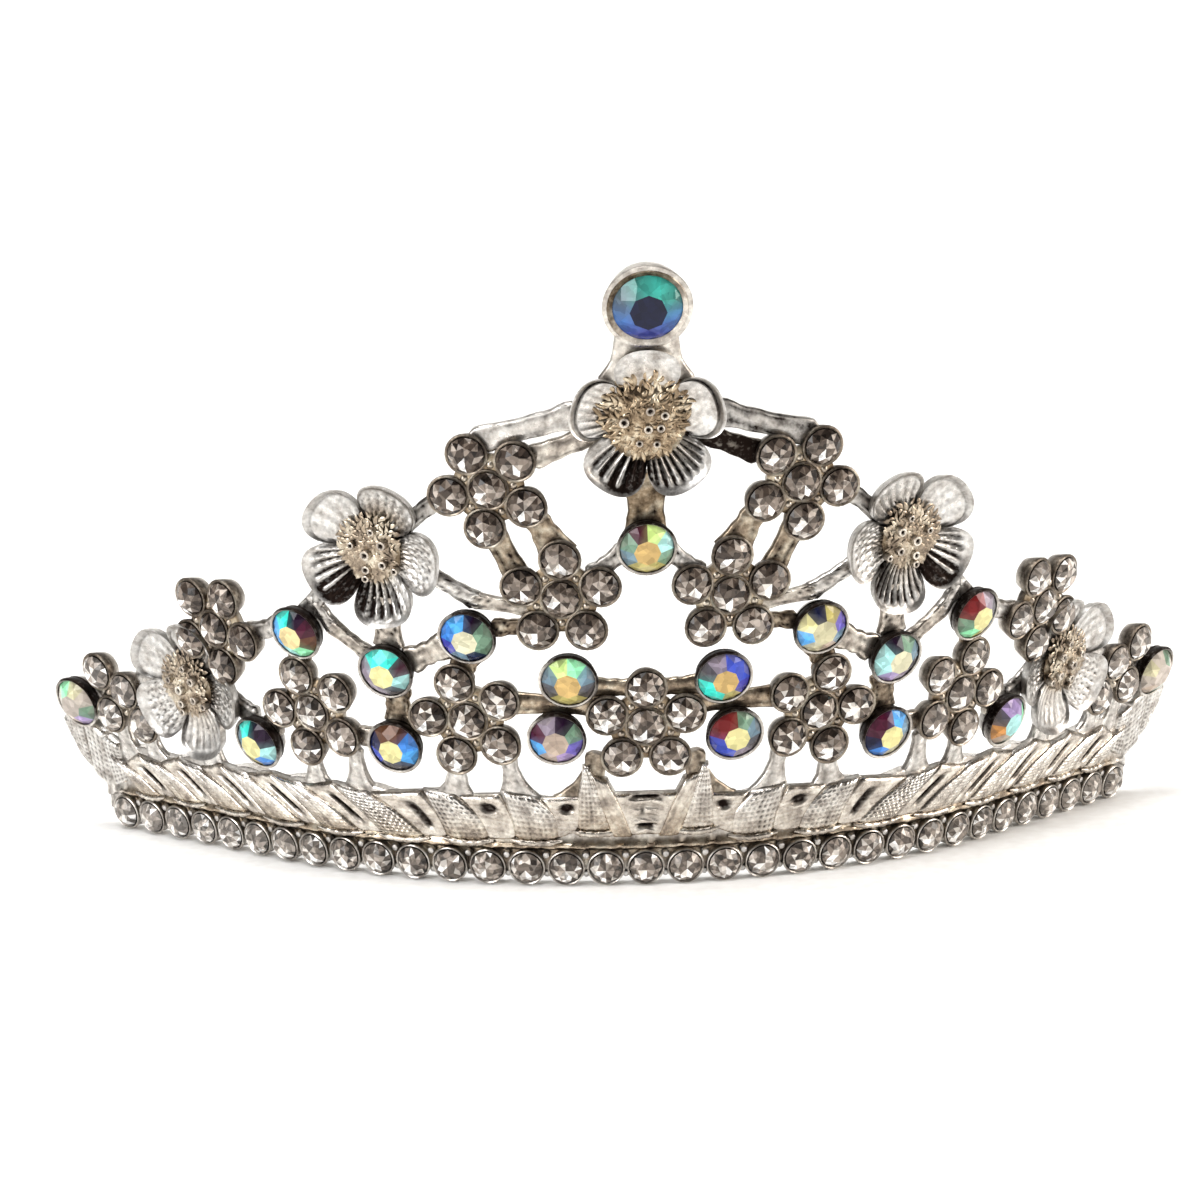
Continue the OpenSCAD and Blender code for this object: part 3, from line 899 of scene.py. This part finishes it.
# Ends on the wall and width, then how many lines run along it, its warmth, black wash and notches
BARS = [
    (4.2, 37.1, 11, 34.9, 1.76, 5, 0.15, 0.45, 0.3), (2.8, 35.7, 7.4, 33.6, 1.56, 2, 0.5, 1.3, 0.3),
    (1.5, 26, 3.6, 24.2, 1.32, 2, 0.15, 0.3, 0.3), (10.6, 28.2, 8.7, 23.8, 1.69, 3, 0.9, 0.35, 0.3),
    (13.4, 30.6, 17, 27.6, 1.32, 3, 0.15, 0.3, 0.9), (15.6, 24.4, 11.9, 22, 1.21, 2, 0.15, 0, 0.9),
    (11.9, 22, 7.6, 21.3, 1.1, 3, 0.5, 0, 0.9), (10.6, 19.8, 7.8, 20, 1.21, 2, 0.9, 0.3, 0.9),
    (12.9, 17.4, 13.6, 15.6, 1.98, 3, 0.9, 0, 0.9), (18.5, 21.8, 18.8, 18, 1.87, 2, 0.5, 0, 0.9),
    (22.5, 23.5, 25.4, 20, 1.43, 3, 0.15, 0.3, 0.9), (24.7, 21.4, 23.2, 19.1, 1.1, 2, 0.15, 0, 0.9),
    (23.2, 19.1, 20.4, 17, 1.1, 3, 0.5, 0, 0.9), (18.6, 14.2, 18.7, 11.8, 1.87, 2, 0.9, 0.3, 0.3),
    (16.2, 12.4, 17.4, 11.4, 1.76, 3, 0.9, 0, 0.3), (20.8, 10, 23.1, 10.2, 1.65, 2, 0.5, 0, 0.3),
    (10.2, 13.6, 3, 13.4, 1.5, 2, 0.9, 0, 0.3), (4, 15, 0.6, 14.8, 1.3, 2, 0.9, 0, 0.3),
    (14.4, 18.2, 17.2, 16.8, 1.87, 3, 0.5, 0, 0.3), (26.6, 16.8, 26.8, 15.2, 1.87, 2, 0.9, 0.3, 0.3),
    (28, 18.8, 31, 17.8, 1.54, 3, 0.15, 0, 0.3), (29, 11.6, 30.6, 10, 1.65, 2, 0.5, 0, 0.3),
    (32.6, 10.4, 35.4, 12, 1.65, 3, 0.15, 0.3, 0.3), (45.4, 11.8, 41.6, 12.3, 1.76, 2, 0.15, 0, 0.3),
    (50.6, 10.8, 49.4, 11.6, 1.76, 3, 0.5, 0, 0.3),
]
# Tips that rise out of the band: foot, top and top width
TIPS = [
    (4.6, 5.2, 3.5, 9.4, 1.7), (9.8, 5.2, 10.4, 9.4, 1.2), (14.8, 5.0, 14.3, 8.6, 1.5), (22.9, 5.0, 22.9, 9, 1.2),
    (27, 5.0, 26.9, 8.2, 1.2), (38.4, 4.9, 38.2, 8.8, 1.3), (45.2, 4.7, 45.6, 7.4, 1.4), (48.2, 4.5, 48.9, 7.8, 1.5),
]


def bar(work, side, s0, v0, s1, v1, width, lines, warm, soot=0.0, notch=0.0, dark=0.5, foot=0.0, out=-0.85):
    """A rounded bar that spreads where it is soldered on, with fine lines along it.
    A foot of its own width runs out of the bar in a curve."""
    length = hypot(s1 - s0, v1 - v0)
    du, dv = (s1 - s0) / length, (v1 - v0) / length
    if not foot:
        s0, v0, s1, v1 = s0 - 0.25 * du, v0 - 0.25 * dv, s1 + 0.25 * du, v1 + 0.25 * dv
    steps = 16
    rows = []
    for k in range(steps + 1):
        t = k / steps
        s, v = mix(s0, s1, t), mix(v0, v1, t)
        away = abs(2 * t - 1)
        w = width / 2 * (1 + 0.55 * away**2.5 + 0.07 * ruffle(s0, 0.3 * t))
        # Both ends are rounded, except at a foot
        if not foot or t > 0.5:
            w *= 1 - 0.45 * away**12
        if foot:
            w += (foot - width) / 2 * (1 - t) ** 2.4
        row = []
        for q in angles(20):
            a, z = cos(q), sin(q)
            front = z > 0.05
            # Lines run along the front only, and shift a little so that they look hand-cut
            line = cos(pi * (lines * a + 0.35 * sin(5 * t))) if front else 0.0
            stain = 0.34 * max(ruffle(v0 + 2.2 * t, 1.3 * a), 0) + soot * (0.7 + 0.3 * ruffle(1.1 * t, 0.7 * a))
            stain += notch * max(ruffle(s0 + 5 * t, 0.4 * a), 0) ** 2
            wash = 0.06 + dark * max(-line, 0) + stain if front else 0.45
            beside, raised = squarish(a, 0.7) * w, squarish(z, 0.6) * HALF_THICK + 0.05 * line
            spot = wall(side * (s - dv * beside), v + du * beside, out + raised)
            row.append((spot, wash, warm if z > -0.6 else 0.4 * warm))
        rows.append(row)
    work.loft(rows)


bars = Work()
for side in (1, -1):
    for k, (*line, soot, notch) in enumerate(BARS):
        # The wash stays in the two beside the middle flower on the right only
        bar(bars, side, *line, 0.0 if k < 2 and side < 0 else soot, notch)
    # The joint between the two upper clusters
    bar(bars, side, 7.8, 29.7, 5.8, 25.65, 2.2, 2, 0.9, soot=0.3, dark=0.35, foot=0.8)
    for s0, v0, s1, v1, w in TIPS:
        # The innermost tips are browner
        warm, soot = (0.8, 0.3) if s0 < 6 else (0.15, 0.0)
        bar(bars, side, s0, v0, s1, v1, 0.85 * w, 2, warm, soot, dark=0.35, foot=w + 2.6)
# The stem under the middle flower
bar(bars, 1, 0, 32.4, 0, 27.4, 2.3, 3, 1.0, soot=0.4, dark=0.4, foot=3.4, out=-0.95)
# The smooth neck under the top stone flares into the side petals: heights and half widths
NECK = [
    (43.9, 1.6), (43.3, 1.95), (42.6, 2.05), (41.9, 2.12), (41.3, 2.25),
    (40.8, 2.5), (40.4, 2.75), (40.0, 3.0), (39.4, 3.1),
]
rows = []
for v, half in NECK:
    row = []
    for q in angles(24):
        a, z = cos(q), sin(q)
        wash = 0.4
        if z > 0.05:
            wash = 0.2 + 0.2 * ruffle(0.6 * v, 0.8 * a) + 0.35 * smooth(41.2 - v) * abs(a) ** 3
        row.append((wall(squarish(a, 0.6) * half, v, squarish(z, 0.5) * HALF_THICK - 0.75), wash, 0.35))
    rows.append(row)
bars.loft(rows)
bars.piece("bars_and_tips", 60)

# The pointed leaves that close the ends, hatched as the band is
END_LEAVES = [
    ((51.2, 1.5), (53.3, 2.7), (51.0, 6.6), (53.6, 8.2)),
    ((53.2, 3.0), (54.4, 4.4), (53.7, 7.4), (56.0, 7.5)),
    ((53.9, 5.6), (55.3, 5.6), (54.4, 8.8), (55.5, 9.2)),
    ((49.0, 2.6), (51.0, 1.6), (49.6, 5.8), (51.6, 6.6)),
]


def end_face(a, b):
    pit = hatch(a, b, 5, 11, 8)
    return 0.1 * pit, 0.08 + 0.7 * pit, 0.1


end_leaves = Work()
for side in (1, -1):
    for corners in END_LEAVES:
        panel(end_leaves, side, corners, 20, 44, 0.6, end_face, base=-0.9, back=-1.35, back_wash=0.2)
end_leaves.piece("end_leaves", 60)

# ---------- stones ----------


class Stones:
    """Cut stones of one node, with a colour at each corner of each facet."""

    def __init__(self):
        self.points, self.faces, self.shades = [], [], []

    def facet(self, corners, shades):
        """A flat facet with a colour at each corner."""
        start = len(self.points)
        self.points += corners
        self.faces.append(tuple(range(start, start + len(corners))))
        self.shades += shades

    def stone(self, place, d, table, crown, girdle, share, blend=0.0):
        """An eight-sided table, eight crown facets of five small cuts each, a girdle and a pointed back.
        crown lists five colours for each facet, clockwise from the top, and blend runs them together."""
        table_r, crown_z, girdle_z = share * d / 2, 0.22 * d, 0.03 * d

        def spot(angle, r, z):
            return place @ Vector((*polar(r, angle), z))

        # Rings run counter-clockwise from the right
        top = [spot(angle, table_r, crown_z) for angle in angles(8)]
        edge, low = ([spot(angle, d / 2, z) for angle in angles(16)] for z in (girdle_z, -0.02 * d))
        middle, point = spot(0, 0, crown_z), spot(0, 0, -0.24 * d)
        facets = [crown[(1 - i) % 8] for i in range(8)]
        for i in range(8):
            j = (i + 1) % 8
            before, own, after = facets[i - 1], facets[i], facets[j]
            self.facet([middle, top[i], top[j]], [table[i]] * 3)
            m = spot(radians(45 * i + 22.5), mix(table_r, d / 2, 0.55), mix(crown_z, girdle_z, 0.42))
            a, b, c = edge[2 * i], edge[2 * i + 1], edge[(2 * i + 2) % 16]
            cuts = [(top[i], a), (a, b), (b, c), (c, top[j]), (top[j], top[i])]
            for k, (p, q) in enumerate(cuts):
                # The first and last corner of a facet lean to the neighbour's colour
                start = mix_colour(own[k], before[k], blend / 2)
                end = mix_colour(own[k], after[k], blend / 2)
                shades = [own[k], (start, start, own[k], end, end)[k], (start, own[k], end, end, start)[k]]
                self.facet([m, p, q], shades)
        for i in range(16):
            j = (i + 1) % 16
            self.facet([edge[i], low[i], low[j], edge[j]], [girdle] * 4)
            self.facet([low[i], point, low[j]], [girdle] * 3)

    def piece(self, name, glass, slot, cad_node):
        mesh = bpy.data.meshes.new(name)
        mesh.from_pydata([p * MM for p in self.points], [], self.faces)
        layer = mesh.color_attributes.new("facet", "FLOAT_COLOR", "CORNER")
        for data, shade in zip(layer.data, self.shades):
            data.color = (*shade, 1)
        bm = bmesh.new()
        bm.from_mesh(mesh)
        bmesh.ops.remove_doubles(bm, verts=bm.verts, dist=1e-7)
        bmesh.ops.recalc_face_normals(bm, faces=bm.faces)
        bm.to_mesh(mesh)
        bm.free()
        made = put(name, mesh)
        mesh.materials.append(glass)
        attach(made, "root")
        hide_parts(cad_node)


for name, s, v, d in all_rainbows():
    words = RAINBOW_CUT[name].split()
    soft = 1.0 if name == "top" else 0.25
    crown = []
    for w in words[1:]:
        # The two cuts at the girdle show some grey foil, and the one at the table is the brightest
        own = [dimmed(FILM[w], k * chance.uniform(0.88, 1.12)) for k in (0.88, 0.74, 0.78, 0.9, 1.0)]
        if name != "top" and w not in DARK_FILM:
            for k in (1, 2):
                own[k] = mix_colour(own[k], FOIL[chance.randint(1, 4)], 0.25)
        elif name == "top":
            own = [dimmed(mix_colour(c, FOIL[2], 0.3), 0.7) for c in own]
        crown.append(own)
    table = [dimmed(FILM[words[0]], chance.uniform(0.76, 0.92)) for _ in range(8)]
    if name == "top":
        table = [dimmed(c, 0.6) for c in table]
    work = Stones()
    # The girdle is painted black, as painted shade under the bezel's lip
    work.stone(on_wall(s, v, 0, RAINBOW_LEAN), d, table, crown, FILM["black"], 0.5, soft)
    work.piece("cut_rainbow_" + name, RAINBOW_GLASS, "rainbow_glass", "rainbow_stone_" + name)


def clear_stone(work, place, d, bright):
    """The foil shows painted shade at the top of a stone and a painted glint low down."""

    def pick(low, high):
        tone = FOIL[min(chance.randint(low, high + (bright > 0)), 6)]
        return mix_colour(tone, FOIL[5], max(bright - 1, 0) * 0.28)

    # Clockwise from the top, the darkest and palest tones painted on each facet: darker at the top as painted shade,
    # paler low down
    tones = [(0, 4), (0, 3), (1, 4), (1, 5), (2, 6), (2, 5), (1, 4), (0, 3)]
    crown = []
    for low, high in tones:
        crown.append([pick(low, high), pick(0, 2), pick(0, 3), pick(low, high), pick(low, high)])
    # The table's eight parts run counter-clockwise from the right, so 5 and 6 are the lowest
    table = [pick(1, 4) for _ in range(8)]
    # A painted glint on one of the lowest parts of the table and on the crown facet beside it
    glint = chance.randint(4, 6)
    table[glint] = FOIL[6]
    crown[(1 - glint) % 8][4] = FOIL[6]
    if chance.random() < 0.5 * max(bright, 1):
        table[glint - 1] = FOIL[5]
    # The paler stones get more painted glints, up to the girdle
    for _ in range(round(3 * max(bright - 0.9, 0))):
        crown[chance.randint(0, 7)][chance.randint(0, 3)] = FOIL[6]
    # The girdle gets the darkest grey, as painted shade round the stone's edge
    work.stone(place, d, table, crown, FOIL[0], 0.55)


# Clusters painted paler than the rest, with more painted glints, as painted light
PAINTED_PALER = dict(
    right_3=0.9, right_4=1.3, right_5=1.5, right_6=1.7, left_3=0.5, left_4=1.1, left_6=1.5, centre=0.5
)
row = Stones()
for k in range(-HALF_ROW, HALF_ROW + 1):
    # The stones are painted paler towards the ends, with more painted glints
    clear_stone(row, on_wall(RAIL_PITCH * k, 0, 0.05), 2.5, 1.3 + 0.7 * smooth((abs(k) - 6) / 9))
row.piece("cut_rail_stones", CLEAR_GLASS, "clear_glass", "rail_stones")
for name, s, v, first, count, side in all_clusters():
    work = Stones()
    for place in cluster_places(s, v, first, count, side):
        clear_stone(work, place @ Matrix.Translation((0, 0, 0.04)), CLEAR_D + 0.1, PAINTED_PALER.get(name, 0.0))
    work.piece("cut_clear_" + name, CLEAR_GLASS, "clear_glass", "clear_stones_" + name)

# ---------- floor, light and camera ----------


def studio_floor():
    """A matt white paper sweep, flat under the piece and curving up behind it."""
    made, tree = material("matt white paper sweep")
    place = node(tree, "TexCoord").outputs["Object"]
    fibre = node(tree, "TexNoise", {"Scale": 900.0, "Detail": 3.0}, {"Vector": place}).outputs[0]
    stops = [(0.3, "#f2f1ef"), (0.7, "#fbfbfa")]
    tone = node(tree, "ValToRGB", links={0: fibre}, stops=stops).outputs[0]
    shader = node(tree, "BsdfPrincipled", {"Roughness": 0.9}, {"Base Color": tone})
    node(tree, "OutputMaterial", links={"Surface": shader.outputs[0]})
    # Flat, then a quarter round of 0.35 m in ten steps, then straight up
    path = [(-0.6, 0.0), (0.25, 0.0)]
    for i in range(1, 11):
        t = radians(9 * i)
        path.append((0.25 + 0.35 * sin(t), 0.35 - 0.35 * cos(t)))
    path += [(0.6, 1.2)]
    mesh = bpy.data.meshes.new("paper_sweep")
    points = [(x, y, z) for y, z in path for x in (-1.2, 1.2)]
    mesh.from_pydata(points, [], [(2 * i, 2 * i + 1, 2 * i + 3, 2 * i + 2) for i in range(len(path) - 1)])
    mesh.materials.append(made)
    for face in mesh.polygons:
        face.use_smooth = True
    floor = put("paper_sweep", mesh)


def softbox(name, spot, power, size, colour="#ffffff"):
    lamp = bpy.data.lights.new(name, "AREA")
    lamp.shape, lamp.size, lamp.size_y = "RECTANGLE", *size
    lamp.energy, lamp.color = power, linear(colour)
    made = put(name, lamp)
    made.location = spot
    made.rotation_mode = "QUATERNION"
    made.rotation_quaternion = (Vector((0, 0, 0.02)) - Vector(spot)).to_track_quat("-Z", "Y")


studio_floor()
softbox("overhead softbox", (-0.1, -0.05, 0.6), 4.4, (0.5, 0.35))
softbox("left softbox", (-0.5, -0.4, 0.25), 2.8, (0.28, 0.35))
softbox("right softbox", (0.6, -0.15, 0.24), 3.4, (0.3, 0.4), "#fff8f0")

room = bpy.data.worlds.new("room")
room.use_nodes = True
sky = room.node_tree
height = node(sky, "SeparateXYZ", links={0: node(sky, "TexCoord").outputs["Generated"]}).outputs[2]
share = node(sky, "MapRange", {"From Min": -1.0}, {"Value": height}).outputs[0]
# White up to a little over the horizon, then a darker ceiling for the metal to mirror
stops = [(0.0, "#ffffff"), (0.55, "#fbfbfa"), (0.66, "#8c8884"), (0.82, "#3f3d3b"), (1.0, "#55524f")]
tone = node(sky, "ValToRGB", links={0: share}, stops=stops).outputs[0]
sky.links.new(tone, sky.nodes["Background"].inputs[0])
sky.nodes["Background"].inputs[1].default_value = 0.76
bpy.context.scene.world = room
bpy.context.scene.view_settings.view_transform = "Standard"

# The photograph's view: aimed at the middle of the wall from a little to the left and above
AIM = Vector((0, -0.008968, 0.02345))
AZIMUTH, ELEVATION, ROLL, DISTANCE = 0.0728226, 0.1755148, radians(0.822), 0.320504
flat = cos(ELEVATION)
ahead = Vector((sin(AZIMUTH) * flat, cos(AZIMUTH) * flat, -sin(ELEVATION)))
level = Vector((cos(AZIMUTH), -sin(AZIMUTH), 0))
above = level.cross(ahead)
up = above * cos(ROLL) + level * sin(ROLL)
right = level * cos(ROLL) - above * sin(ROLL)
lens = bpy.data.cameras.new("camera")
lens.sensor_width, lens.lens = 36, 125.5
lens.shift_x, lens.shift_y = -0.035, -0.0104
lens.clip_start, lens.clip_end = 0.02, 10
camera = put("camera", lens)
camera.matrix_world = Matrix.Translation(AIM - ahead * DISTANCE) @ Matrix((right, up, -ahead)).transposed().to_4x4()
bpy.context.scene.camera = camera

bpy.context.view_layer.update()
